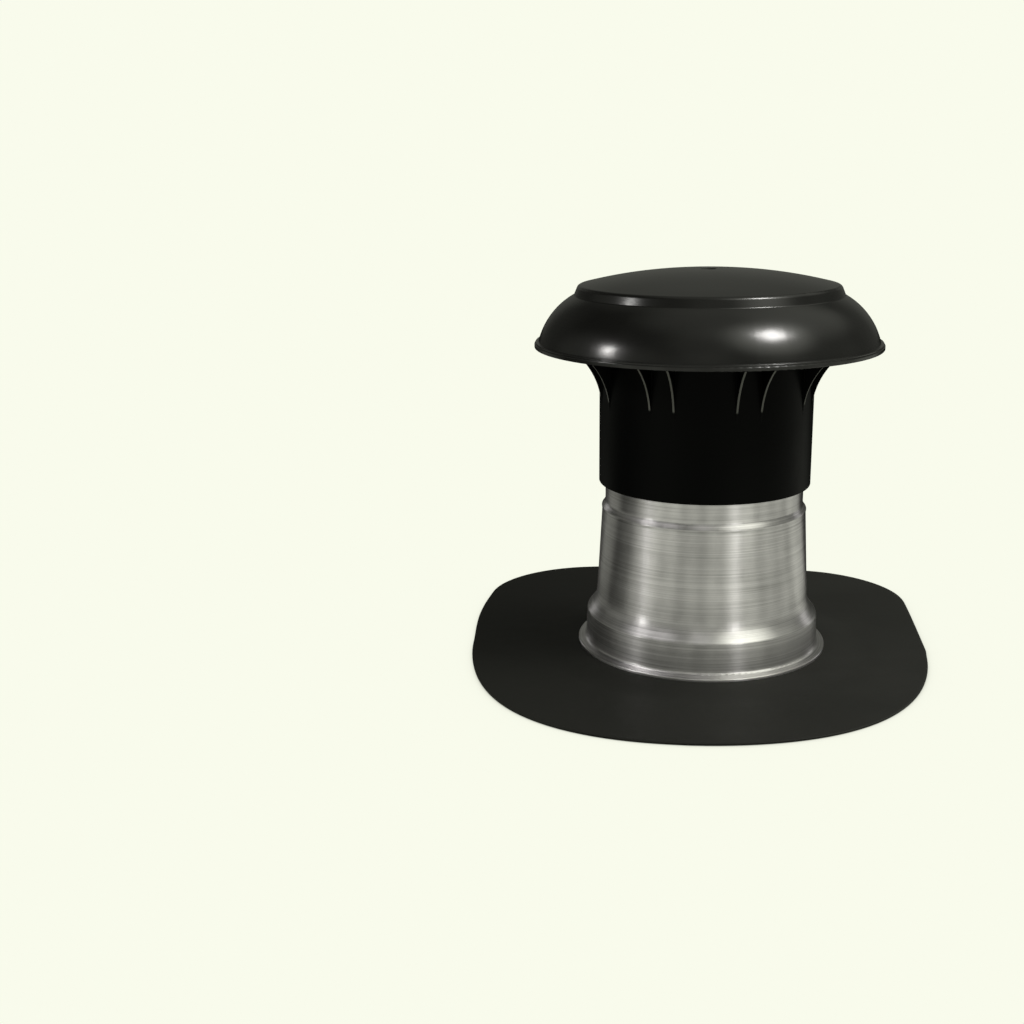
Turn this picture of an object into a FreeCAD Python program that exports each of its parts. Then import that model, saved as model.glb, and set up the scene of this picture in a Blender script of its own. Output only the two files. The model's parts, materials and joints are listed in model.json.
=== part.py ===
import FreeCAD, Part
import math
import os

from FreeCAD import Vector

# Flat roof vent: hood, cowl sleeve, spun base, roofing sheet and the pieces that clamp and pipe it.
# Millimetres. The vent's axis is Z, the roof is at z = 0, and -Y is the front.
# The pipe sets the radii, from the inside out, and the stack on the roof sets the heights, from below.

# Pipe, flange and double socket, under and through the sheet
pipe_radius = 62.5
pipe_wall = 3.0
pipe_edge_radius = 1.0
flange_thickness = 3.0
flange_setback = 4.0
mouth_clearance = 0.3
mouth_chamfer = 1.5
socket_wall = 3.0
socket_root_radius = 1.5
lower_socket_depth = 40.0
stop_height = 4.0
stop_reach = 2.5
upper_socket_depth = 28.0
press_clearance = 0.15
seal_groove_start = 19.0
seal_groove_height = 11.0
seal_groove_depth = 5.6
socket_gusset_count = 8
socket_gusset_reach = 6.5
socket_gusset_height = 14.0
socket_gusset_thickness = 2.0
socket_gusset_toe = 1.0

# Lip seal in the lower socket
seal_side_clearance = 0.2
seal_lip_bite = 0.8
seal_lip_thickness = 1.4
seal_body_depth = 4.0
seal_edge_radius = 0.4
seal_lip_edge_radius = 0.3

# Roofing sheet
sheet_half_width = 194.2
sheet_half_depth = 215.4
sheet_side_shift = -6.4
sheet_thickness = 1.8
side_bow_radius = 3000.0
front_flat_half_width = 4.0
rear_corner_radius = 100.5
middle_hole_clearance = 1.7
drape_land_width = 4.0
drape_width = 30.0
drape_bend_radius = 60.0

# Clamp ring and blind rivets
ring_thickness = 1.0
ring_rim_clearance = 0.4
rivet_count = 4
rivet_edge_distance = 12.0
rivet_shank_radius = 2.0
rivet_bore_radius = 1.1
rivet_head_radius = 4.0
rivet_head_height = 1.2
rivet_head_edge_height = 0.3
rivet_head_edge_radius = 0.2
rivet_crown_radius = 2.4
rivet_crown_bend = 0.8
rivet_bulb_radius = 3.1
rivet_bulb_height = 0.9
rivet_bulb_edge_radius = 0.3
rivet_hole_clearance = 0.1
counterbore_clearance = 1.1
counterbore_depth = 1.6
mandrel_clearance = 0.05
mandrel_recess = 0.5
mandrel_head_radius = 1.8
mandrel_head_height = 0.5
mandrel_head_edge_radius = 0.2

# Spun base, outside sizes
base_wall = 1.0
neck_gap = 19.1
neck_height = 70.0
neck_lip_width = 5.0
neck_lip_bend = 2.2
joggle_step = 2.6
joggle_rise = 6.4
joggle_bend = 3.0
bead_proud = 0.5
body_flare = 4.2
body_height = 77.5
fillet_bend = 18.0
shoulder_width = 7.9
shoulder_slope_height = 10.0
shoulder_bend = 2.2
skirt_flare = 1.1
skirt_rise = 24.6
rim_root_bend = 2.4
rim_width = 6.6
rim_fall = 1.7
rim_lip_radius = 1.2

# Cowl sleeve
sleeve_gap = 2.9
sleeve_wall = 2.5
sleeve_overlap = 53.2
sleeve_edge_radius = 1.0
shelf_thickness = 2.5
shelf_root_radius = 2.0
collar_wall = 2.5
collar_rise = 14.0
collar_drop = 12.0
centring_rib_count = 12
centring_rib_thickness = 1.6
centring_clearance = 0.2
centring_rib_foot_gap = 6.0
moulded_edge_radius = 0.5

# Legs of the sleeve: a web between two curved ribs, with a cap that carries the hood
leg_count = 8
leg_rise = 103.0
window_height = 36.0
window_corner_radius = 4.0
rib_half_angle = 6.6
rib_thickness = 1.6
rib_length = 93.2
rib_curve_radius = 60.0
rib_curve_rise = 45.2
rib_shoulder_reach = 18.0
rib_shoulder_drop = 7.5
cap_reach = 11.0
cap_thickness = 2.0
catch_drop = 18.4
catch_height = 6.2
catch_side_clearance = 1.5

# Hood, outside sizes
hood_wall = 2.5
dome_rise = 12.3
disc_margin = 7.0
disc_rise = 5.4
disc_edge_bend = 4.0
step_width = 3.2
step_drop = 7.8
step_bend = 1.6
roll_width = 22.3
roll_drop = 12.8
roll_side_width = 6.5
roll_side_drop = 24.0
roll_straight = 0.8
lip_reach = 3.3
lip_flare = 0.4
lip_step = 0.8
lip_lower_height = 3.4
lip_upper_height = 1.4
lip_edge_radius = 0.7
gate_radius = 6.5
gate_depth = 1.5
gate_edge_radius = 0.5
gate_margin = 1.0
gate_nub_radius = 1.6
gate_nub_height = 0.8

# Snap tongues and stop gussets under the hood, one for each leg
tongue_width = 12.0
tongue_thickness = 2.5
tongue_clearance = 0.3
tongue_tail = 7.4
nose_width = 10.0
nose_reach = 1.9
nose_flat = 1.4
nose_lead_in = 4.0
nose_clearance = 0.3
gusset_thickness = 2.0

# How far a cutter runs past the face that it opens
overcut = 1.0

# Radii that follow, from the pipe outwards
mouth_radius = pipe_radius + mouth_clearance
socket_radius = mouth_radius + socket_wall
middle_hole_radius = socket_radius + socket_gusset_reach + middle_hole_clearance
rivet_circle_radius = middle_hole_radius + rivet_edge_distance
neck_radius = pipe_radius + neck_gap
joggle_foot_radius = neck_radius + joggle_step
fillet_root_radius = joggle_foot_radius + body_flare
shoulder_radius = fillet_root_radius + shoulder_width
skirt_foot_radius = shoulder_radius + skirt_flare
rim_radius = skirt_foot_radius + rim_width
ring_radius = rim_radius - base_wall - ring_rim_clearance
flange_radius = rim_radius - flange_setback
sleeve_inner_radius = neck_radius + sleeve_gap
sleeve_radius = sleeve_inner_radius + sleeve_wall
rib_shoulder_radius = sleeve_radius + rib_shoulder_reach
cap_radius = sleeve_radius + cap_reach
disc_radius = cap_radius + disc_margin
step_radius = disc_radius + step_width
roll_corner_radius = step_radius + roll_width
roll_foot_radius = roll_corner_radius + roll_side_width
lip_radius = roll_foot_radius + lip_reach
front_corner_radius = sheet_half_width - front_flat_half_width

# Heights that follow, from the roof upwards
sheet_top_height = flange_thickness + sheet_thickness
ring_top_height = sheet_top_height + ring_thickness
stop_top_height = lower_socket_depth + stop_height
socket_top_height = stop_top_height + upper_socket_depth
seal_groove_end = seal_groove_start + seal_groove_height
rim_top_height = ring_top_height + base_wall
skirt_foot_height = rim_top_height + rim_fall
shoulder_height = skirt_foot_height + skirt_rise
fillet_height = shoulder_height + shoulder_slope_height
joggle_foot_height = fillet_height + body_height
joggle_top_height = joggle_foot_height + joggle_rise
neck_top_height = joggle_top_height + neck_height
shelf_top_height = neck_top_height + shelf_thickness
pipe_top_height = shelf_top_height + collar_rise
sleeve_foot_height = neck_top_height - sleeve_overlap
cap_height = neck_top_height + leg_rise
wall_top_height = cap_height - window_height
rib_start_height = cap_height - rib_length
rib_curve_top_height = rib_start_height + rib_curve_rise
rib_shoulder_height = cap_height - rib_shoulder_drop
catch_top_height = cap_height - catch_drop
catch_bottom_height = catch_top_height - catch_height
tongue_bottom_height = catch_bottom_height - tongue_tail
disc_edge_height = cap_height + disc_rise
hood_top_height = disc_edge_height + dome_rise
step_height = disc_edge_height - step_drop
roll_corner_height = step_height - roll_drop
lip_top_height = roll_corner_height - roll_side_drop
lip_middle_height = lip_top_height - lip_upper_height
lip_bottom_height = lip_middle_height - lip_lower_height

# Angles that follow
leg_pitch = 360.0 / leg_count
first_leg_angle = leg_pitch / 2.0

origin = Vector(0.0, 0.0, 0.0)
up = Vector(0.0, 0.0, 1.0)


def section_point(radius, height):
    """A point of a half section, in the XZ plane."""
    return Vector(radius, 0.0, height)


def bent_edges(corners):
    """Edges along corners of (point, bend radius), with a tangent arc at each bend."""
    edges = []
    start = corners[0][0]
    for index in range(1, len(corners) - 1):
        corner, bend = corners[index]
        back = (corners[index - 1][0] - corner).normalize()
        ahead = (corners[index + 1][0] - corner).normalize()
        half_turn = (math.pi - back.getAngle(ahead)) / 2.0
        if bend <= 0.0 or half_turn < 1e-6:
            edges.append(Part.LineSegment(start, corner).toShape())
            start = corner
            continue
        reach = bend * math.tan(half_turn)
        to_centre = (back + ahead).normalize()
        centre = corner + to_centre * (bend / math.cos(half_turn))
        first = corner + back * reach
        last = corner + ahead * reach
        middle = centre - to_centre * bend
        if (first - start).Length > 1e-6:
            edges.append(Part.LineSegment(start, first).toShape())
        edges.append(Part.Arc(first, middle, last).toShape())
        start = last
    edges.append(Part.LineSegment(start, corners[-1][0]).toShape())
    return edges


def inner_corners(corners, wall):
    """The same corners, one wall further to the right of the path, with bends about the same centres."""
    points = [point for point, bend in corners]
    directions = [(b - a).normalize() for a, b in zip(points[:-1], points[1:])]
    normals = [Vector(d.z, 0.0, -d.x) for d in directions]
    moved = [(points[0] + normals[0] * wall, 0.0)]
    for index in range(1, len(points) - 1):
        before = normals[index - 1]
        after = normals[index]
        mitre = (before + after).normalize()
        point = points[index] + mitre * (wall / mitre.dot(before))
        turn = directions[index - 1].x * directions[index].z - directions[index - 1].z * directions[index].x
        bend = corners[index][1] + math.copysign(wall, turn)
        moved.append((point, max(bend, 0.0)))
    moved.append((points[-1] + normals[-1] * wall, 0.0))
    return moved


def turned(edges):
    """A solid turned about Z from a closed half section."""
    wire = Part.Wire(Part.sortEdges(edges)[0])
    return Part.Face(wire).revolve(origin, up, 360.0)


def turned_polygon(corners):
    """A solid turned from closed corners of (radius, height, bend), starting at a sharp corner."""
    path = [(section_point(radius, height), bend) for radius, height, bend in corners]
    path.append(path[0])
    return turned(bent_edges(path))


def turned_wall(corners, wall):
    """A shell of even wall turned from the corners of its outside."""
    outside = [(section_point(radius, height), bend) for radius, height, bend in corners]
    inside = inner_corners(outside, wall)
    edges = bent_edges(outside) + bent_edges(inside)
    edges.append(Part.LineSegment(outside[0][0], inside[0][0]).toShape())
    edges.append(Part.LineSegment(outside[-1][0], inside[-1][0]).toShape())
    return turned(edges)


def round_hole(radius, angle, circle_radius, bottom, top):
    """A plain round cutter or pin on a circle about the axis."""
    direction = math.radians(angle)
    base = Vector(circle_radius * math.cos(direction), circle_radius * math.sin(direction), bottom)
    return Part.makeCylinder(radius, top - bottom, base)


def plate(points, thickness):
    """A flat plate in the XZ plane, centred on it, from the points of its outline."""
    wire = Part.makePolygon(points + [points[0]])
    return Part.Face(wire).extrude(Vector(0.0, thickness, 0.0)).translated(Vector(0.0, -thickness / 2.0, 0.0))


def block(inner, outer, width, bottom, top):
    """A block along +X, centred on the XZ plane."""
    corner = Vector(inner, -width / 2.0, bottom)
    return Part.makeBox(outer - inner, width, top - bottom, corner)


def around(shape, count, first_angle=0.0):
    """Copies of a shape, evenly spaced about the axis."""
    step = 360.0 / count
    return [shape.rotated(origin, up, first_angle + step * index) for index in range(count)]


def sector(inner, outer, bottom, top, half_angle):
    """A block with round inner and outer faces, spread evenly to both sides of +X."""
    corners = [(inner, bottom), (outer, bottom), (outer, top), (inner, top)]
    points = [section_point(radius, height) for radius, height in corners]
    face = Part.Face(Part.makePolygon(points + [points[0]]))
    return face.revolve(origin, up, 2.0 * half_angle).rotated(origin, up, -half_angle)


def arc_meeting(first_centre, first_radius, second_centre, second_radius, side):
    """The point at both distances from two centres that lies furthest towards side."""
    between = second_centre - first_centre
    distance = between.Length
    along = (distance ** 2 + first_radius ** 2 - second_radius ** 2) / (2.0 * distance)
    across = math.sqrt(first_radius ** 2 - along ** 2)
    unit = between.normalize()
    normal = Vector(-unit.y, unit.x, 0.0)
    found = [first_centre + unit * along + normal * (across * sign) for sign in (1.0, -1.0)]
    return max(found, key=lambda point: point.dot(side))


def sheet_outline():
    """The sheet's edge, a little to one side of the vent: four bowed sides, four round corners, all tangent."""
    across = sheet_half_width - side_bow_radius
    along = sheet_half_depth - side_bow_radius
    middle = Vector(sheet_side_shift, 0.0, 0.0)
    right = middle + Vector(across, 0.0, 0.0)
    rear = middle + Vector(0.0, along, 0.0)
    left = middle - Vector(across, 0.0, 0.0)
    front = middle - Vector(0.0, along, 0.0)
    corners = [
        (front, right, Vector(1.0, -1.0, 0.0), front_corner_radius),
        (right, rear, Vector(1.0, 1.0, 0.0), rear_corner_radius),
        (rear, left, Vector(-1.0, 1.0, 0.0), rear_corner_radius),
        (left, front, Vector(-1.0, -1.0, 0.0), front_corner_radius),
    ]
    touches = []
    for first, second, side, radius in corners:
        reach = side_bow_radius - radius
        centre = arc_meeting(first, reach, second, reach, side)
        start = first + (centre - first).normalize() * side_bow_radius
        halfway = centre + side.normalize() * radius
        end = second + (centre - second).normalize() * side_bow_radius
        touches.append((start, halfway, end, second))
    edges = []
    for index, (start, halfway, end, side_centre) in enumerate(touches):
        following = touches[(index + 1) % len(touches)][0]
        towards = ((end + following) * 0.5 - side_centre).normalize()
        edges.append(Part.Arc(start, halfway, end).toShape())
        edges.append(Part.Arc(end, side_centre + towards * side_bow_radius, following).toShape())
    return Part.Wire(edges)


def make_roofing_sheet():
    """The rubber sheet: flat on the roof, draped up over the flange in the middle."""
    land_radius = rim_radius + drape_land_width
    drape_radius = land_radius + drape_width
    flat_start = drape_radius + drape_land_width
    margin = Part.Face(sheet_outline()).extrude(up * sheet_thickness)
    margin = margin.cut(Part.makeCylinder(flat_start, sheet_thickness))
    middle = turned_wall([
        (middle_hole_radius, sheet_top_height, 0.0),
        (land_radius, sheet_top_height, drape_bend_radius),
        (drape_radius, sheet_thickness, drape_bend_radius),
        (flat_start, sheet_thickness, 0.0),
    ], sheet_thickness)
    sheet = margin.fuse(middle).removeSplitter()
    shank = rivet_shank_radius + rivet_hole_clearance
    holes = around(round_hole(shank, 0.0, rivet_circle_radius, 0.0, sheet_top_height + overcut), rivet_count)
    return sheet.cut(holes)


def make_flange_socket():
    """The moulded flange with a lower socket for the building's pipe and an upper one for the inner pipe."""
    groove_radius = mouth_radius + seal_groove_depth
    bulge = groove_radius + socket_wall
    seat = pipe_radius + press_clearance
    stop_radius = pipe_radius - stop_reach
    body = turned_polygon([
        (mouth_radius + mouth_chamfer, 0.0, 0.0),
        (flange_radius, 0.0, moulded_edge_radius),
        (flange_radius, flange_thickness, moulded_edge_radius),
        (socket_radius, flange_thickness, socket_root_radius),
        (socket_radius, seal_groove_start - socket_wall, socket_root_radius),
        (bulge, seal_groove_start - socket_wall + seal_groove_depth, socket_root_radius),
        (bulge, seal_groove_end, socket_root_radius),
        (socket_radius, seal_groove_end + seal_groove_depth, socket_root_radius),
        (socket_radius, socket_top_height, moulded_edge_radius),
        (seat, socket_top_height, 0.0),
        (seat, stop_top_height, 0.0),
        (stop_radius, stop_top_height, moulded_edge_radius),
        (stop_radius, lower_socket_depth, moulded_edge_radius),
        (mouth_radius, lower_socket_depth, 0.0),
        (mouth_radius, seal_groove_end, 0.0),
        (groove_radius, seal_groove_end, moulded_edge_radius),
        (groove_radius, seal_groove_start, moulded_edge_radius),
        (mouth_radius, seal_groove_start, 0.0),
        (mouth_radius, mouth_chamfer, 0.0),
    ])
    root = socket_radius - socket_wall / 2.0
    tip = socket_radius + socket_gusset_reach
    gusset = plate([
        section_point(root, flange_thickness / 2.0),
        section_point(tip, flange_thickness / 2.0),
        section_point(tip, flange_thickness + socket_gusset_toe),
        section_point(root + socket_gusset_toe, flange_thickness + socket_gusset_height),
        section_point(root, flange_thickness + socket_gusset_height),
    ], socket_gusset_thickness)
    body = body.fuse(around(gusset, socket_gusset_count, 180.0 / socket_gusset_count)).removeSplitter()
    shank = rivet_shank_radius + rivet_hole_clearance
    counterbore = rivet_bulb_radius + counterbore_clearance
    cutters = around(
        round_hole(shank, 0.0, rivet_circle_radius, -overcut, flange_thickness + overcut), rivet_count)
    cutters += around(
        round_hole(counterbore, 0.0, rivet_circle_radius, -overcut, counterbore_depth), rivet_count)
    return body.cut(cutters)


def make_lip_seal():
    """The rubber ring in the socket's groove, with a lip that leans in the way the pipe is pushed."""
    bottom = seal_groove_start + seal_side_clearance
    top = seal_groove_end - seal_side_clearance
    outer = mouth_radius + seal_groove_depth - seal_side_clearance
    inner = outer - seal_body_depth
    tip = pipe_radius - seal_lip_bite
    return turned_polygon([
        (inner, bottom, 0.0),
        (outer, bottom, seal_edge_radius),
        (outer, top, seal_edge_radius),
        (inner, top, seal_edge_radius),
        (inner, top - seal_lip_thickness, seal_edge_radius),
        (tip, top - seal_lip_thickness / 2.0, seal_lip_edge_radius),
        (tip, top - 2.0 * seal_lip_thickness, seal_lip_edge_radius),
        (inner, bottom + seal_lip_thickness, 0.0),
    ])


def make_inner_pipe():
    """The plain pipe from the socket's stop up through the sleeve's collar."""
    inner = pipe_radius - pipe_wall
    return turned_polygon([
        (inner, stop_top_height, 0.0),
        (pipe_radius, stop_top_height, 0.0),
        (pipe_radius, pipe_top_height, pipe_edge_radius),
        (inner, pipe_top_height, pipe_edge_radius),
    ])


def make_clamp_ring():
    """The flat ring that presses the sheet on the flange, under the crimped rim of the base."""
    ring = turned_polygon([
        (middle_hole_radius, sheet_top_height, 0.0),
        (ring_radius, sheet_top_height, 0.0),
        (ring_radius, ring_top_height, 0.0),
        (middle_hole_radius, ring_top_height, 0.0),
    ])
    shank = rivet_shank_radius + rivet_hole_clearance
    hole = round_hole(shank, 0.0, rivet_circle_radius, sheet_top_height - overcut, ring_top_height + overcut)
    return ring.cut(around(hole, rivet_count))


def make_rivet_shells():
    """Blind rivets: a domed head on the ring, a hollow shank, and a set bulb in the flange's counterbore."""
    bulb_bottom = counterbore_depth - rivet_bulb_height
    head_top = ring_top_height + rivet_head_height
    shell = turned_polygon([
        (rivet_bore_radius, bulb_bottom, 0.0),
        (rivet_bulb_radius, bulb_bottom, rivet_bulb_edge_radius),
        (rivet_bulb_radius, counterbore_depth, 0.0),
        (rivet_shank_radius, counterbore_depth, 0.0),
        (rivet_shank_radius, ring_top_height, 0.0),
        (rivet_head_radius, ring_top_height, 0.0),
        (rivet_head_radius, ring_top_height + rivet_head_edge_height, rivet_head_edge_radius),
        (rivet_crown_radius, head_top, rivet_crown_bend),
        (rivet_bore_radius, head_top, 0.0),
    ])
    placed = shell.translated(Vector(rivet_circle_radius, 0.0, 0.0))
    return Part.makeCompound(around(placed, rivet_count))


def make_rivet_mandrels():
    """The steel stubs left in the rivets, with their heads under the bulbs."""
    bulb_bottom = counterbore_depth - rivet_bulb_height
    stem = rivet_bore_radius - mandrel_clearance
    stub = turned_polygon([
        (0.0, bulb_bottom - mandrel_head_height, 0.0),
        (mandrel_head_radius, bulb_bottom - mandrel_head_height, mandrel_head_edge_radius),
        (mandrel_head_radius, bulb_bottom, 0.0),
        (stem, bulb_bottom, 0.0),
        (stem, ring_top_height + rivet_head_height - mandrel_recess, 0.0),
        (0.0, ring_top_height + rivet_head_height - mandrel_recess, 0.0),
    ])
    placed = stub.translated(Vector(rivet_circle_radius, 0.0, 0.0))
    return Part.makeCompound(around(placed, rivet_count))


def make_spun_base():
    """The aluminium base, one spun wall from the lip inside the neck to the crimped rim on the sheet."""
    return turned_wall([
        (neck_radius - neck_lip_width, neck_top_height, 0.0),
        (neck_radius, neck_top_height, neck_lip_bend),
        (neck_radius, joggle_top_height, joggle_bend),
        (joggle_foot_radius + bead_proud, joggle_foot_height + joggle_rise / 3.0, joggle_bend / 2.0),
        (joggle_foot_radius, joggle_foot_height, joggle_bend),
        (fillet_root_radius, fillet_height, fillet_bend),
        (shoulder_radius, shoulder_height, shoulder_bend),
        (skirt_foot_radius, skirt_foot_height, rim_root_bend),
        (rim_radius, rim_top_height, rim_lip_radius),
        (rim_radius, sheet_top_height, 0.0),
    ], base_wall)


def rib_outline():
    """The outline of one curved rib, from its foot on the sleeve's wall to its shoulder and cap."""
    root = sleeve_radius - sleeve_wall / 2.0

    def curve_radius_at(height):
        rise = height - rib_start_height
        return sleeve_radius + rib_curve_radius - math.sqrt(rib_curve_radius ** 2 - rise ** 2)

    middle_height = (rib_start_height + rib_curve_top_height) / 2.0
    foot = section_point(sleeve_radius, rib_start_height)
    middle = section_point(curve_radius_at(middle_height), middle_height)
    top = section_point(curve_radius_at(rib_curve_top_height), rib_curve_top_height)
    straight = [
        top,
        section_point(rib_shoulder_radius, rib_shoulder_height),
        section_point(cap_radius, cap_height),
        section_point(root, cap_height),
        section_point(root, rib_start_height),
        foot,
    ]
    edges = [Part.Arc(foot, middle, top).toShape()]
    edges += [Part.LineSegment(a, b).toShape() for a, b in zip(straight[:-1], straight[1:])]
    return Part.Wire(edges)


def make_cowl_sleeve():
    """The sleeve: wall, shelf on the neck, collar round the pipe, and eight legs with curved rib pairs."""
    collar_outer = mouth_radius + collar_wall
    sleeve = turned_polygon([
        (sleeve_inner_radius, sleeve_foot_height, 0.0),
        (sleeve_radius, sleeve_foot_height, sleeve_edge_radius),
        (sleeve_radius, cap_height, 0.0),
        (sleeve_inner_radius, cap_height, 0.0),
        (sleeve_inner_radius, shelf_top_height, shelf_root_radius),
        (collar_outer, shelf_top_height, shelf_root_radius),
        (collar_outer, shelf_top_height + collar_rise, moulded_edge_radius),
        (mouth_radius, shelf_top_height + collar_rise, moulded_edge_radius),
        (mouth_radius, neck_top_height - collar_drop, moulded_edge_radius),
        (collar_outer, neck_top_height - collar_drop, moulded_edge_radius),
        (collar_outer, neck_top_height, 0.0),
        (sleeve_inner_radius, neck_top_height, 0.0),
    ])
    window = sector(
        sleeve_inner_radius - sleeve_wall,
        sleeve_radius + sleeve_wall,
        wall_top_height,
        cap_height + overcut,
        leg_pitch / 2.0 - rib_half_angle,
    )
    lower_edges = [
        edge for edge in window.Edges
        if len(edge.Vertexes) == 2
        and abs(edge.CenterOfMass.z - wall_top_height) < 0.01
        and isinstance(edge.Curve, Part.Line)
    ]
    window = window.makeFillet(window_corner_radius, lower_edges)
    sleeve = sleeve.cut(around(window, leg_count))

    rib = Part.Face(rib_outline()).extrude(Vector(0.0, rib_thickness, 0.0))
    rib = rib.translated(Vector(0.0, -rib_thickness / 2.0, 0.0))
    root = sleeve_radius - sleeve_wall / 2.0
    cap = sector(root, cap_radius, cap_height - cap_thickness, cap_height, rib_half_angle)
    parts = []
    for angle in (-rib_half_angle, rib_half_angle):
        parts += around(rib, leg_count, first_leg_angle + angle)
    parts += around(cap, leg_count, first_leg_angle)
    centring_rib = block(
        neck_radius + centring_clearance,
        sleeve_radius - sleeve_wall / 2.0,
        centring_rib_thickness,
        sleeve_foot_height + centring_rib_foot_gap,
        neck_top_height + shelf_thickness / 2.0,
    )
    parts += around(centring_rib, centring_rib_count)
    sleeve = sleeve.fuse(parts).removeSplitter()
    catch = block(
        sleeve_inner_radius - sleeve_wall,
        sleeve_radius + sleeve_wall,
        nose_width + 2.0 * catch_side_clearance,
        catch_bottom_height,
        catch_top_height,
    )
    return sleeve.cut(around(catch, leg_count, first_leg_angle))


def bend_with_reach(reach, before, corner, after):
    """The radius of the arc that touches both runs at a corner of (radius, height), reach away from it."""
    first = math.atan2(corner[1] - before[1], corner[0] - before[0])
    second = math.atan2(after[1] - corner[1], after[0] - corner[0])
    return reach / math.tan(abs(second - first) / 2.0)


def make_hood():
    """The hood: one moulded wall with a beaded lip, and a snap tongue and stop gusset for each leg."""
    crown_start = (gate_radius + gate_margin, hood_top_height)
    crown_corner = (disc_radius / 2.0, hood_top_height)
    disc_corner = (disc_radius, disc_edge_height)
    crown_bend = bend_with_reach(crown_corner[0] - crown_start[0], crown_start, crown_corner, disc_corner)
    step_corner = (step_radius, step_height)
    roll_corner = (roll_corner_radius, roll_corner_height)
    roll_foot = (roll_foot_radius, lip_top_height)
    roll_reach = min(math.dist(step_corner, roll_corner), math.dist(roll_corner, roll_foot)) - roll_straight
    roll_bend = bend_with_reach(roll_reach, step_corner, roll_corner, roll_foot)
    outside = [
        (0.0, hood_top_height - gate_depth, 0.0),
        (gate_radius - gate_depth, hood_top_height - gate_depth, gate_edge_radius),
        (gate_radius, hood_top_height, gate_edge_radius),
        (*crown_corner, crown_bend),
        (*disc_corner, disc_edge_bend),
        (*step_corner, step_bend),
        (*roll_corner, roll_bend),
        (*roll_foot, 0.0),
        (roll_foot_radius + lip_flare, lip_bottom_height, 0.0),
    ]
    shell = turned_wall(outside, hood_wall)
    lip_root = roll_foot_radius - hood_wall / 2.0
    lip = turned_polygon([
        (lip_root, lip_bottom_height, 0.0),
        (lip_radius, lip_bottom_height, lip_edge_radius),
        (lip_radius, lip_middle_height, lip_edge_radius),
        (lip_radius - lip_step, lip_middle_height, 0.0),
        (lip_radius - lip_step, lip_top_height, lip_edge_radius),
        (lip_root, lip_top_height, 0.0),
    ])
    floor_height = hood_top_height - gate_depth
    nub_foot = Vector(0.0, 0.0, floor_height - gate_nub_height)
    nub = Part.makeCylinder(gate_nub_radius, 2.0 * gate_nub_height, nub_foot)

    tongue_face = sleeve_inner_radius - tongue_clearance
    nose_top = catch_top_height - nose_clearance
    tongue = block(
        tongue_face - tongue_thickness,
        tongue_face,
        tongue_width,
        tongue_bottom_height,
        hood_top_height,
    )
    nose = plate([
        section_point(tongue_face - tongue_thickness / 2.0, nose_top),
        section_point(tongue_face + nose_reach, nose_top),
        section_point(tongue_face + nose_reach, nose_top - nose_flat),
        section_point(tongue_face, nose_top - nose_flat - nose_lead_in),
        section_point(tongue_face - tongue_thickness / 2.0, nose_top - nose_flat - nose_lead_in),
    ], nose_width)
    gusset = block(
        tongue_face - tongue_thickness / 2.0,
        cap_radius,
        gusset_thickness,
        cap_height,
        hood_top_height,
    )
    axis_foot = (0.0, lip_bottom_height, 0.0)
    filled = turned_polygon(outside + [axis_foot])
    carriers = [piece.common(filled) for piece in (tongue, gusset)]
    parts = [lip, nub]
    for piece in carriers + [nose]:
        parts += around(piece, leg_count, first_leg_angle)
    return shell.fuse(parts).removeSplitter()


def main():
    os.makedirs("parts", exist_ok=True)
    pieces = {
        "hood": make_hood(),
        "cowl_sleeve": make_cowl_sleeve(),
        "spun_base": make_spun_base(),
        "roofing_sheet": make_roofing_sheet(),
        "clamp_ring": make_clamp_ring(),
        "flange_socket": make_flange_socket(),
        "inner_pipe": make_inner_pipe(),
        "lip_seal": make_lip_seal(),
        "rivet_shells": make_rivet_shells(),
        "rivet_mandrels": make_rivet_mandrels(),
    }
    for node, shape in pieces.items():
        shape.exportStep("parts/" + node + ".step")
        print(node, "solids", len(shape.Solids), "valid", shape.isValid(), "volume", round(shape.Volume))


main()
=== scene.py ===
import json
import math

import bmesh
import bpy
import numpy as np
from mathutils import Matrix, Vector


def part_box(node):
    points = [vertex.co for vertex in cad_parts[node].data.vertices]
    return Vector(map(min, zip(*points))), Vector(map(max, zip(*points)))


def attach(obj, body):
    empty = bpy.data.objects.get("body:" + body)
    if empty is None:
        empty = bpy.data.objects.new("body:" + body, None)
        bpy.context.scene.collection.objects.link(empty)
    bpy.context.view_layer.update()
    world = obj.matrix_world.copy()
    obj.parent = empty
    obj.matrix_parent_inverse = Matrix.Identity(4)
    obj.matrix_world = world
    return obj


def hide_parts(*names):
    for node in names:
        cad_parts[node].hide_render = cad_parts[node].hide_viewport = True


# Looks of a flat roof vent: finishes, a roofing sheet with a softer edge, studio light and camera.
# Metres, degrees and the shared frame: the vent's axis is Z, the floor is z = 0 and -Y is the front.

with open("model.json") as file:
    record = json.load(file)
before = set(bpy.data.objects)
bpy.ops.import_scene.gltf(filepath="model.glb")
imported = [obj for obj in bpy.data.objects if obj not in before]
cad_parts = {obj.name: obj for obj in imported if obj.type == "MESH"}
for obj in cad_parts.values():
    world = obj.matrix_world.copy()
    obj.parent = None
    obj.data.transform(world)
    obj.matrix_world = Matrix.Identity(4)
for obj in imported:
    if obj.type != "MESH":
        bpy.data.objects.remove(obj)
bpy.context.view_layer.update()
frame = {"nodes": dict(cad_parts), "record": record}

# Camera, fitted to the photograph's circles
camera_distance = 1.12692
camera_height = 0.41013
camera_pitch = 14.677
camera_yaw = 8.169
camera_roll = 0.680
sensor_width = 36.0
lens_length = 48.341
nearest_seen = 0.05
farthest_seen = 60.0

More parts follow.
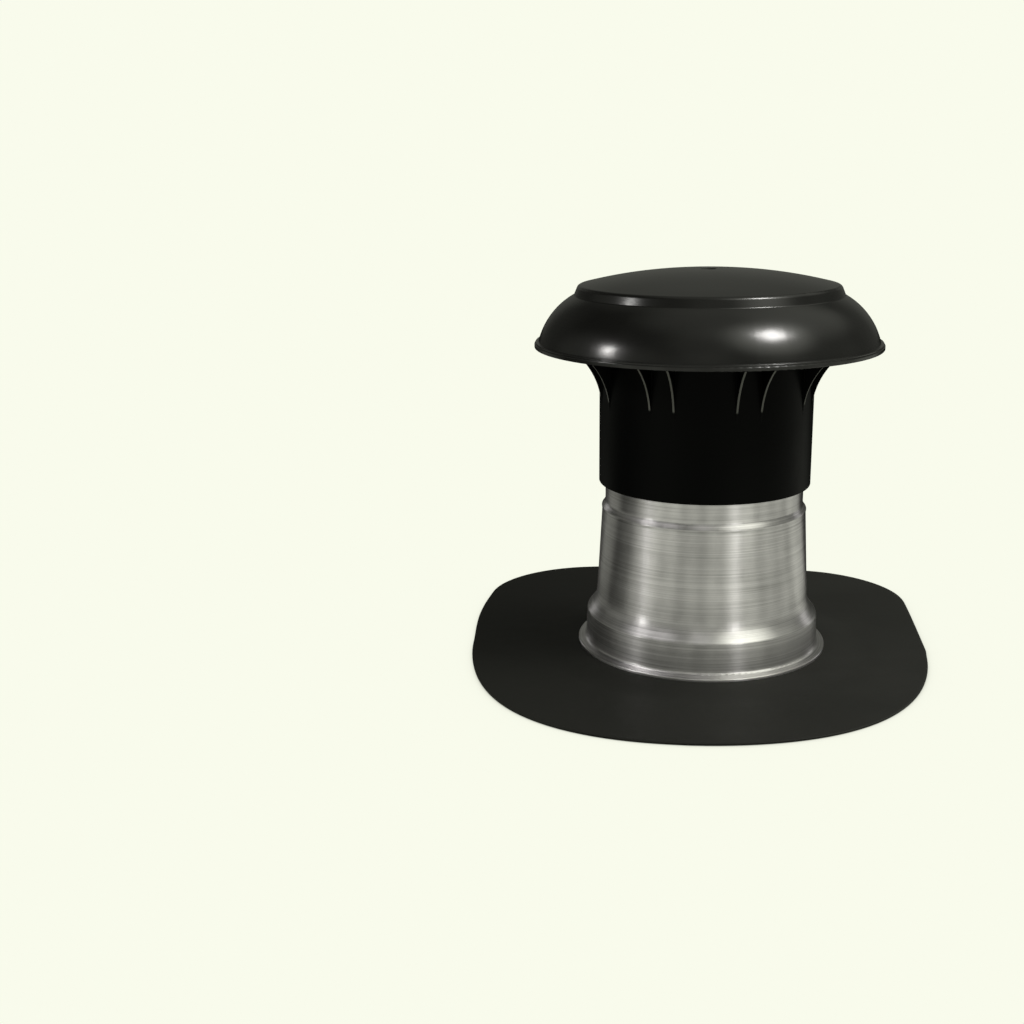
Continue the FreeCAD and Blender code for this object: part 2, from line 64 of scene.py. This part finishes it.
# Colours, linear
ivory = (0.947, 0.965, 0.840)
hood_black = (0.0068, 0.0068, 0.0062)
sleeve_black = (0.0010, 0.0011, 0.0010)
# grey painted along the sleeve ribs' outer edges as a highlight
rib_highlight_grey = (0.1150, 0.1150, 0.1050)
rubber_black = (0.0100, 0.0102, 0.0088)
pipe_black = (0.0120, 0.0120, 0.0120)
seal_black = (0.0090, 0.0090, 0.0090)
spun_grey = (0.745, 0.730, 0.740)
sheet_metal_grey = (0.740, 0.740, 0.730)
steel_grey = (0.420, 0.420, 0.430)
box_white = (1.0, 0.985, 0.955)

# Noise for the finishes: features in a metre, detail and roughness
grain_noise = (1500.0, 3.0, 0.5)
wave_noise = (38.0, 2.0, 0.5)
cloud_noise = (16.0, 4.0, 0.6)
pore_noise = (900.0, 4.0, 0.6)
bloom_noise = (9.0, 6.0, 0.62)
bloom_stretch = (1.0, 1.4, 1.0)
smudge_noise = (22.0, 5.0, 0.6)
scratch_noise = (1.0, 3.0, 0.6)
scratch_stretch = (60.0, 2400.0, 60.0)
middle_range = (0.3, 0.7)

# Lines of the spinning tool: features round the axis and along the profile, their noise and their depth
fine_lines = (8.0, 1900.0)
fine_noise = (1.0, 2.0, 0.6)
fine_depth = 0.00002
coarse_lines = (5.0, 850.0)
coarse_noise = (1.0, 3.0, 0.65)
coarse_depth = 0.00004
coarse_share = 0.6
tool_passes = (3.0, 95.0)
pass_noise = (1.0, 2.0, 0.5)
pass_depth = 0.00014
smudge_share = 0.35

# How much darker and lighter than its colour a finish gets, how the black ones bend light
# and how finely the edges of the mouldings are softened
plastic_tones = (0.8, 1.25)
rubber_tones = (0.75, 1.5)
spun_tones = (0.46, 1.26)
rolled_tones = (0.85, 1.1)
black_ior = 1.5
bevel_samples = 6

# Roofing sheet: thickness, its radii on and around the raised middle, its small unevenness,
# where its outline is found in the solid and the steps of its mesh
sheet_thickness = 0.0018
sheet_top = 0.0048
hole_radius = 0.074
land_radius = 0.105
flat_radius = 0.141
edge_rounding = 0.0005
edge_lift = 0.0006
even_lift = 0.5
least_room = 0.00001
outline_beyond = 0.1551
outline_below = 0.00045
sheet_segments = 540
points_per_side = 24
land_steps = 8
fall_steps = 16
flat_steps = 30
bend_steps = 5

# Waves of the lifted edge: turns round the sheet, size as a share of the lift, and shift
lift_waves = ((2, 0.3, 0.8), (5, 0.2, 2.1))

# How far the cut edge wanders from the even outline, by turns round the sheet: cosine and sine in mm
mm_in_metre = 1000
edge_wander = {
    0: (-0.26, 0.0),
    1: (2.80, 0.80),
    2: (-1.85, 2.68),
    3: (0.12, 1.77),
    4: (-0.06, -1.65),
    5: (-0.09, 2.81),
}

# Sleeve, where its ribs get a painted highlight: how far a rib's edge faces outward, where it stands
# clear of the wall and where it meets the cap
rib_facing = (0.35, 0.55)
rib_start_radius = 0.0876
rib_edge_fade = 0.0003
rib_top_height = 0.2900
rib_top_fade = 0.002

# Looks by slot. Plastic: colour, roughness, reflectance, depths of grain and wave, rounding, painted
# highlight on the rib edges
plastic_looks = {
    "hood_plastic": (hood_black, (0.20, 0.24), 0.40, (0.000003, 0.0001), 0.0003),
    "sleeve_plastic": (sleeve_black, (0.34, 0.44), 0.045, (0.000008, 0.0003), 0.0006, True),
    "pipe_plastic": (pipe_black, (0.34, 0.44), 0.40, (0.000008, 0.0003), 0.0004),
}
# Rolled and drawn metal: colour, roughness and depth of scratches
metal_looks = {
    "ring_aluminium": (sheet_metal_grey, (0.28, 0.42), 0.00002),
    "rivet_aluminium": (sheet_metal_grey, (0.22, 0.34), 0.00001),
    "mandrel_steel": (steel_grey, (0.30, 0.45), 0.00002),
}
# Rubber: colour, roughness, reflectance and depth of pores
rubber_looks = {
    "sheet_rubber": (rubber_black, (0.50, 0.64), 0.10, 0.00003),
    "seal_rubber": (seal_black, (0.42, 0.55), 0.40, 0.00002),
}
# Spun metal: colour, roughness, how far its shine is drawn out and which way
spun_looks = {"spun_aluminium": (spun_grey, (0.29, 0.38), 0.80, 0.25)}

# Studio: boxes by azimuth from the camera's side, elevation, distance, width, height and power.
# The soft boxes light the black parts, the others only the bare metal or only the sheet.
soft_boxes = {
    "key": (60.0, 54.0, 1.7, 0.36, 0.36, 18.6),
    "side": (-70.0, 27.0, 1.7, 0.18, 0.24, 7.2),
}
metal_boxes = {
    "band_right": (36.0, 12.0, 1.7, 0.11, 0.90, 1.50),
    "band_left": (-62.0, 10.0, 1.7, 0.16, 0.70, 1.60),
    "edge_left": (-140.0, 10.0, 1.7, 0.30, 0.70, 0.35),
    "edge_right": (130.0, 10.0, 1.7, 0.30, 0.70, 0.50),
    "upper_side": (-90.0, 55.0, 1.7, 0.50, 0.50, 4.00),
    "upper_left": (-50.0, 55.0, 1.7, 0.50, 0.50, 1.10),
    "upper_front": (0.0, 55.0, 1.7, 0.50, 0.50, 0.70),
    "upper_right": (45.0, 50.0, 1.7, 0.30, 0.40, 0.40),
}
sheet_boxes = {
    "low_right": (105.0, 33.0, 0.70, 0.40, 0.40, 3.0),
}
aim_height = 0.17

# Floor: its size, how brightly it shows and how its painted contact shadow darkens it close to the vent
floor_radius = 9.0
floor_segments = 96
backdrop_glow = 1.0
contact_reach = 0.09
contact_shade = 0.55
contact_samples = 12

# Soft glows round the vent: elevation, half width, and strength by azimuth from the camera's side
floor_ring = (0.0, 20.0, {
    -140: 0.04, -120: 0.22, -80: 0.08, -60: 0.48, -40: 0.64, -20: 0.47, 0: 0.42,
    20: 0.54, 40: 0.78, 60: 0.44, 80: 0.45, 100: 0.37, 120: 0.54,
})
low_ring = (10.0, 34.0, {
    -135: 0.06, -90: 0.22, -45: 0.30, 0: 0.36, 45: 0.18, 90: 0.21, 135: 0.09, 180: 0.15,
})
high_ring = (50.0, 30.0, {-60: 0.03, 0: 0.27, 60: 2.05, 120: 0.62, 180: 0.18})
overhead = (90.0, 35.0, {0: 0.37})


def node(tree, kind, inputs=None, **settings):
    """A shader node with its settings and input values, where a value may be another node's output."""
    made = tree.nodes.new(kind)
    for name, value in settings.items():
        setattr(made, name, value)
    for key, value in (inputs or {}).items():
        if isinstance(value, bpy.types.NodeSocket):
            tree.links.new(value, made.inputs[key])
        else:
            made.inputs[key].default_value = value
    return made


def math_node(tree, operation, first, second=0.0, third=0.0):
    """The output of one maths step."""
    return node(tree, "ShaderNodeMath", {0: first, 1: second, 2: third}, operation=operation).outputs[0]


def new_material(name):
    """A material with an empty tree and its output."""
    material = bpy.data.materials.new(name)
    material.use_nodes = True
    tree = material.node_tree
    tree.nodes.clear()
    output = tree.nodes.new("ShaderNodeOutputMaterial")
    return material, tree, output


def place(tree, scale=(1.0, 1.0, 1.0)):
    """Object coordinates, scaled along each axis."""
    coordinates = node(tree, "ShaderNodeTexCoord").outputs["Object"]
    return node(tree, "ShaderNodeMapping", {"Vector": coordinates, "Scale": scale}).outputs["Vector"]


def split_place(tree):
    """Object coordinates one by one, and as a vector without the height."""
    coordinates = node(tree, "ShaderNodeTexCoord").outputs["Object"]
    parts = node(tree, "ShaderNodeSeparateXYZ", {0: coordinates}).outputs
    return parts, node(tree, "ShaderNodeCombineXYZ", {0: parts["X"], 1: parts["Y"], 2: 0.0}).outputs[0]


def length(tree, vector):
    """A vector's length."""
    return node(tree, "ShaderNodeVectorMath", {0: vector}, operation="LENGTH").outputs["Value"]


def direction_of(tree, vector):
    """A vector made one long."""
    return node(tree, "ShaderNodeVectorMath", {0: vector}, operation="NORMALIZE").outputs["Vector"]


def nearness(tree, first, second):
    """How nearly two directions agree: 1 when they are the same."""
    both = {0: first, 1: second}
    return node(tree, "ShaderNodeVectorMath", both, operation="DOT_PRODUCT").outputs["Value"]


def noise(tree, vector, settings):
    """Grey noise at a place, by its scale, detail and roughness."""
    scale, detail, roughness = settings
    inputs = {"Vector": vector, "Scale": scale, "Detail": detail, "Roughness": roughness}
    return node(tree, "ShaderNodeTexNoise", inputs).outputs["Fac"]


def spread(tree, value, low, high, start=0.0, end=1.0):
    """A value moved from start and end to low and high."""
    inputs = {"Value": value, "From Min": start, "From Max": end, "To Min": low, "To Max": high}
    return node(tree, "ShaderNodeMapRange", inputs).outputs["Result"]


def toned(tree, factor, colour, tones):
    """A colour between its darker and its lighter tone, by a factor."""
    ramp = node(tree, "ShaderNodeValToRGB", {"Fac": factor})
    for stop, tone in zip(ramp.color_ramp.elements, tones):
        stop.color = (*(channel * tone for channel in colour), 1.0)
    return ramp.outputs["Color"]


def bump(tree, height, distance, strength=1.0, normal=None):
    """A bumped normal, on top of another if one is given."""
    inputs = {"Height": height, "Distance": distance, "Strength": strength}
    if normal is not None:
        inputs["Normal"] = normal
    return node(tree, "ShaderNodeBump", inputs).outputs["Normal"]


def mottled(tree, value, low, high):
    """A value that follows a noise, whose middle range is stretched from low to high."""
    return spread(tree, value, low, high, *middle_range)


def finish(tree, output, inputs):
    """Ends a material in one surface with these inputs."""
    surface = node(tree, "ShaderNodeBsdfPrincipled", inputs)
    tree.links.new(surface.outputs["BSDF"], output.inputs["Surface"])


def paint_rib_highlights(tree, colour):
    """The sleeve's colour, with a painted highlight in grey along the narrow outer edges of its ribs."""
    parts, flat = split_place(tree)
    facing = node(tree, "ShaderNodeNewGeometry").outputs["True Normal"]
    outer = spread(tree, nearness(tree, facing, direction_of(tree, flat)), 0.0, 1.0, *rib_facing)
    radius = length(tree, flat)
    clear = spread(tree, radius, 0.0, 1.0, rib_start_radius, rib_start_radius + rib_edge_fade)
    on_edge = math_node(tree, "MULTIPLY", outer, clear)
    below_cap = spread(tree, parts["Z"], 1.0, 0.0, rib_top_height - rib_top_fade, rib_top_height)
    factor = math_node(tree, "MULTIPLY", on_edge, below_cap)
    grey = {"Factor": factor, "A": colour, "B": (*rib_highlight_grey, 1.0)}
    return node(tree, "ShaderNodeMix", grey, data_type="RGBA").outputs["Result"]


def moulded_plastic(name, colour, gloss, reflectance, depths, rounding, ribs=False):
    """Black moulded plastic: softened edges, fine grain, a slow wave of the mould, uneven gloss and, on
    ribbed parts, a painted highlight on the rib edges.
    """
    material, tree, output = new_material(name)
    grain_depth, wave_depth = depths
    grain = noise(tree, place(tree), grain_noise)
    wave = noise(tree, place(tree), wave_noise)
    cloud = noise(tree, place(tree), cloud_noise)
    soft_edges = node(tree, "ShaderNodeBevel", {"Radius": rounding}, samples=bevel_samples)
    waved = bump(tree, wave, wave_depth, 1.0, soft_edges.outputs["Normal"])
    tint = toned(tree, cloud, colour, plastic_tones)
    finish(tree, output, {
        "Base Color": paint_rib_highlights(tree, tint) if ribs else tint,
        "Roughness": mottled(tree, cloud, *gloss),
        "Specular IOR Level": reflectance,
        "Normal": bump(tree, grain, grain_depth, 1.0, waved),
        "IOR": black_ior,
    })
    return material


def black_rubber(name, colour, roughness, reflectance, pore_depth):
    """Matte black rubber with a faint chalky bloom."""
    material, tree, output = new_material(name)
    pores = noise(tree, place(tree), pore_noise)
    bloom = noise(tree, place(tree, bloom_stretch), bloom_noise)
    finish(tree, output, {
        "Base Color": toned(tree, bloom, colour, rubber_tones),
        "Roughness": mottled(tree, bloom, *roughness),
        "Specular IOR Level": reflectance,
        "Normal": bump(tree, pores, pore_depth),
        "IOR": black_ior,
    })
    return material


def ring_place(tree, around, along):
    """Coordinates that change fast along a turned profile and slowly round the axis."""
    parts, flat = split_place(tree)
    profile = math_node(tree, "SUBTRACT", parts["Z"], length(tree, flat))
    x = math_node(tree, "MULTIPLY", parts["X"], around)
    y = math_node(tree, "MULTIPLY", parts["Y"], around)
    z = math_node(tree, "MULTIPLY", profile, along)
    return node(tree, "ShaderNodeCombineXYZ", {0: x, 1: y, 2: z}).outputs[0]


def weighed(tree, first, second, share):
    """Two values mixed, the first by its share."""
    rest = math_node(tree, "MULTIPLY", second, 1.0 - share)
    return math_node(tree, "MULTIPLY_ADD", first, share, rest)


def spun_metal(name, colour, roughness, drawn_out, turn):
    """Aluminium with the lines of the spinning tool round the axis."""
    material, tree, output = new_material(name)
    fine = noise(tree, ring_place(tree, *fine_lines), fine_noise)
    coarse = noise(tree, ring_place(tree, *coarse_lines), coarse_noise)
    passes = noise(tree, ring_place(tree, *tool_passes), pass_noise)
    smudge = noise(tree, place(tree), smudge_noise)
    lines = weighed(tree, coarse, fine, coarse_share)
    tone = mottled(tree, weighed(tree, smudge, lines, smudge_share), 0.0, 1.0)
    rings = bump(tree, passes, pass_depth)
    scored = bump(tree, coarse, coarse_depth, 1.0, rings)
    finish(tree, output, {
        "Base Color": toned(tree, tone, colour, spun_tones),
        "Metallic": 1.0,
        "Roughness": mottled(tree, lines, *roughness),
        "Normal": bump(tree, fine, fine_depth, 1.0, scored),
        "Anisotropic": drawn_out,
        "Anisotropic Rotation": turn,
        "Tangent": node(tree, "ShaderNodeTangent", direction_type="RADIAL", axis="Z").outputs["Tangent"],
    })
    return material


def plain_metal(name, colour, roughness, scratch_depth):
    """Rolled or drawn metal with light scratches one way."""
    material, tree, output = new_material(name)
    scratches = noise(tree, place(tree, scratch_stretch), scratch_noise)
    finish(tree, output, {
        "Base Color": toned(tree, scratches, colour, rolled_tones),
        "Metallic": 1.0,
        "Roughness": mottled(tree, scratches, *roughness),
        "Normal": bump(tree, scratches, scratch_depth),
    })
    return material


def dress_nodes():
    """Gives each CAD node the finish of its material slot."""
    finishes = {}
    for maker, looks in (
        (moulded_plastic, plastic_looks),
        (plain_metal, metal_looks),
        (black_rubber, rubber_looks),
        (spun_metal, spun_looks),
    ):
        for slot, look in looks.items():
            finishes[slot] = maker(slot, *look)
    for part in frame["record"]["subparts"]:
        obj = frame["nodes"][part["node"]]
        obj.data.materials.clear()
        obj.data.materials.append(finishes[part["material_slot"]])


def sheet_edge(node_object):
    """The sheet's outline round the vent's axis: its radius at evenly spaced angles."""
    places = np.array([vertex.co for vertex in node_object.data.vertices])
    radii = np.hypot(places[:, 0], places[:, 1])
    outer = radii > outline_beyond
    lowest = places[:, 2] < outline_below
    corners = places[outer & lowest, :2]
    corners = corners[np.argsort(np.arctan2(corners[:, 1], corners[:, 0]))]
    shares = np.linspace(0.0, 1.0, points_per_side, endpoint=False)[:, None, None]
    run = (corners * (1 - shares) + np.roll(corners, -1, axis=0) * shares).reshape(-1, 2)
    angles = np.linspace(-math.pi, math.pi, sheet_segments, endpoint=False)
    turns = np.arctan2(run[:, 1], run[:, 0])
    edge = np.interp(angles, turns, np.hypot(run[:, 0], run[:, 1]), period=2 * math.pi)
    wander = np.zeros_like(angles)
    for count, (cosine, sine) in edge_wander.items():
        wander += (cosine * np.cos(count * angles) + sine * np.sin(count * angles)) / mm_in_metre
    room = room_to(edge, angles, *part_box("roofing_sheet"))
    return angles, edge + np.where(wander > 0, wander * room / (room + abs(wander)), wander)


def room_to(edge, angles, low, high):
    """How much further out the edge may go before it leaves a box."""
    across = np.cos(angles)
    along = np.sin(angles)
    sides = [across / low[0], across / high[0], along / low[1], along / high[1]]
    return np.maximum(1.0 / np.max(sides, axis=0) - edge, least_room)


def sheet_rings(angles, edge):
    """Rings of points over the sheet's top, round its edge and back underneath, from hole to hole."""
    land = np.linspace(hole_radius, land_radius, land_steps)
    waves = [size * np.sin(count * angles + shift) for count, size, shift in lift_waves]
    rise = edge_lift * (even_lift + sum(waves))
    top = [(np.full_like(angles, radius), sheet_top) for radius in land]
    for share in np.linspace(0.0, 1.0, fall_steps)[1:]:
        height = sheet_top - (sheet_top - sheet_thickness) * share * share * (3 - 2 * share)
        top.append((np.full_like(angles, land_radius + (flat_radius - land_radius) * share), height))
    for share in np.linspace(0.0, 1.0, flat_steps)[1:]:
        radius = flat_radius + (edge - edge_rounding - flat_radius) * share
        top.append((radius, sheet_thickness + rise * share ** 3))
    under = [(radius, height - sheet_thickness) for radius, height in reversed(top)]
    side = []
    for bend in np.linspace(0.0, math.pi / 2, bend_steps)[1:]:
        reach = edge - edge_rounding * (1 - math.sin(bend))
        side.append((reach, sheet_thickness - edge_rounding * (1 - math.cos(bend)) + rise))
    below = [(radius, rise + sheet_thickness - (height - rise)) for radius, height in reversed(side)]
    return top + side + below + under


def ring_mesh(name, angles, rings):
    """A closed mesh through rings of points, the last joined to the first."""
    across = np.cos(angles)
    along = np.sin(angles)
    count = len(angles)
    points = []
    for radius, height in rings:
        heights = np.broadcast_to(height, angles.shape)
        points.extend(zip(radius * across, radius * along, heights))
    faces = []
    for ring in range(len(rings)):
        here = ring * count
        after = (ring + 1) % len(rings) * count
        for step in range(count):
            following = (step + 1) % count
            faces.append((here + step, after + step, after + following, here + following))
    mesh = bpy.data.meshes.new(name)
    mesh.from_pydata([tuple(map(float, point)) for point in points], [], faces)
    mesh.shade_smooth()
    return mesh


def make_sheet():
    """The rubber sheet with a softened cut edge that doesn't lie perfectly flat."""
    solid = frame["nodes"]["roofing_sheet"]
    angles, edge = sheet_edge(solid)
    mesh = ring_mesh("sheet_skin", angles, sheet_rings(angles, edge))
    mesh.materials.append(solid.data.materials[0])
    skin = bpy.data.objects.new("sheet_skin", mesh)
    bpy.context.scene.collection.objects.link(skin)
    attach(skin, "root")
    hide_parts("roofing_sheet")


def towards(azimuth, elevation):
    """The direction from the vent at an azimuth from the camera's side and an elevation."""
    turn = math.radians(azimuth)
    rise = math.radians(elevation)
    return Vector((math.sin(turn) * math.cos(rise), -math.cos(turn) * math.cos(rise), math.sin(rise)))


def glow_patch(tree, direction, middle, half_width, strength):
    """A patch of light that fades out smoothly from its middle."""
    near = nearness(tree, direction, tuple(middle))
    edge = math.cos(math.radians(half_width))
    inputs = {"Value": near, "From Min": edge, "From Max": 1.0, "To Min": 0.0, "To Max": strength}
    return node(tree, "ShaderNodeMapRange", inputs, interpolation_type="SMOOTHSTEP").outputs["Result"]


def glow_sum(tree, direction, rings):
    """Soft patches of light, each round its own direction."""
    total = 0.0
    for elevation, half_width, strengths in rings:
        for azimuth, strength in strengths.items():
            patch = glow_patch(tree, direction, towards(azimuth, elevation), half_width, strength)
            total = math_node(tree, "ADD", total, patch)
    return total


def shown(tree, seen, reflected):
    """One strength for the camera and another for the light that reaches the vent."""
    ray = node(tree, "ShaderNodeLightPath").outputs["Is Camera Ray"]
    return node(tree, "ShaderNodeMix", {"Factor": ray, "A": reflected, "B": seen}).outputs["Result"]


def add_floor():
    """A pale floor that glows evenly, darker only where something stands close above it, as painted
    contact shadow.
    """
    mesh = bpy.data.meshes.new("floor")
    form = bmesh.new()
    bmesh.ops.create_circle(form, cap_ends=True, segments=floor_segments, radius=floor_radius)
    form.to_mesh(mesh)
    form.free()
    floor = bpy.data.objects.new("floor", mesh)
    bpy.context.scene.collection.objects.link(floor)
    material, tree, output = new_material("floor_paper")
    reach = {"Distance": contact_reach}
    near = node(tree, "ShaderNodeAmbientOcclusion", reach, samples=contact_samples).outputs["AO"]
    shade = spread(tree, near, 1.0 - contact_shade, 1.0)
    seen = math_node(tree, "MULTIPLY", shade, backdrop_glow)
    flat = split_place(tree)[1]
    reflected = glow_sum(tree, direction_of(tree, flat), [floor_ring])
    glow = {"Color": (*ivory, 1.0), "Strength": shown(tree, seen, reflected)}
    surface = node(tree, "ShaderNodeEmission", glow)
    tree.links.new(surface.outputs["Emission"], output.inputs["Surface"])
    mesh.materials.append(material)


def add_world():
    """Pale surroundings for the camera and a studio with soft glows for the vent."""
    world = bpy.data.worlds.new("studio")
    bpy.context.scene.world = world
    world.use_nodes = True
    tree = world.node_tree
    tree.nodes.clear()
    output = tree.nodes.new("ShaderNodeOutputWorld")
    direction = node(tree, "ShaderNodeTexCoord").outputs["Generated"]
    studio = glow_sum(tree, direction, [low_ring, high_ring, overhead])
    glow = {"Color": (*ivory, 1.0), "Strength": shown(tree, backdrop_glow, studio)}
    surface = node(tree, "ShaderNodeBackground", glow)
    tree.links.new(surface.outputs["Background"], output.inputs["Surface"])


def add_soft_boxes():
    """Boxes for the vent's bare metal, for its sheet and for all its black parts."""
    metal = bpy.data.collections.new("bare_metal")
    sheet = bpy.data.collections.new("sheet")
    rest = bpy.data.collections.new("black_parts")
    for part in frame["record"]["subparts"]:
        group = metal if part["material_slot"] in (*spun_looks, *metal_looks) else rest
        group.objects.link(frame["nodes"][part["node"]])
    for group in (sheet, rest):
        group.objects.link(bpy.data.objects["sheet_skin"])
    for boxes, lit in ((soft_boxes, rest), (metal_boxes, metal), (sheet_boxes, sheet)):
        hang_boxes(boxes, lit)


def hang_boxes(boxes, lit):
    """Hangs area lights round the vent that light one group of its pieces and don't show themselves."""
    aim = Vector((0.0, 0.0, aim_height))
    for name, (azimuth, elevation, distance, width, height, power) in boxes.items():
        away = towards(azimuth, elevation)
        light = bpy.data.lights.new(name, "AREA")
        light.shape = "RECTANGLE"
        light.size = width
        light.size_y = height
        light.energy = power
        light.color = box_white
        box = bpy.data.objects.new(name, light)
        box.location = aim + away * distance
        box.rotation_mode = "QUATERNION"
        box.rotation_quaternion = away.to_track_quat("Z", "Y")
        box.visible_camera = False
        box.light_linking.receiver_collection = lit
        bpy.context.scene.collection.objects.link(box)


def add_camera():
    """The camera at the photograph's place: level turn to the left, tilt down and a slight roll."""
    data = bpy.data.cameras.new("camera")
    data.sensor_width = sensor_width
    data.lens = lens_length
    data.clip_start = nearest_seen
    data.clip_end = farthest_seen
    camera = bpy.data.objects.new("camera", data)
    turn = Matrix.Rotation(math.radians(camera_yaw), 4, "Z")
    tilt = Matrix.Rotation(math.radians(90.0 - camera_pitch), 4, "X")
    roll = Matrix.Rotation(-math.radians(camera_roll), 4, "Z")
    camera.matrix_world = Matrix.Translation((0.0, -camera_distance, camera_height)) @ turn @ tilt @ roll
    bpy.context.scene.collection.objects.link(camera)
    bpy.context.scene.camera = camera


dress_nodes()
make_sheet()
add_floor()
add_world()
add_soft_boxes()
add_camera()
bpy.context.scene.view_settings.view_transform = "Standard"
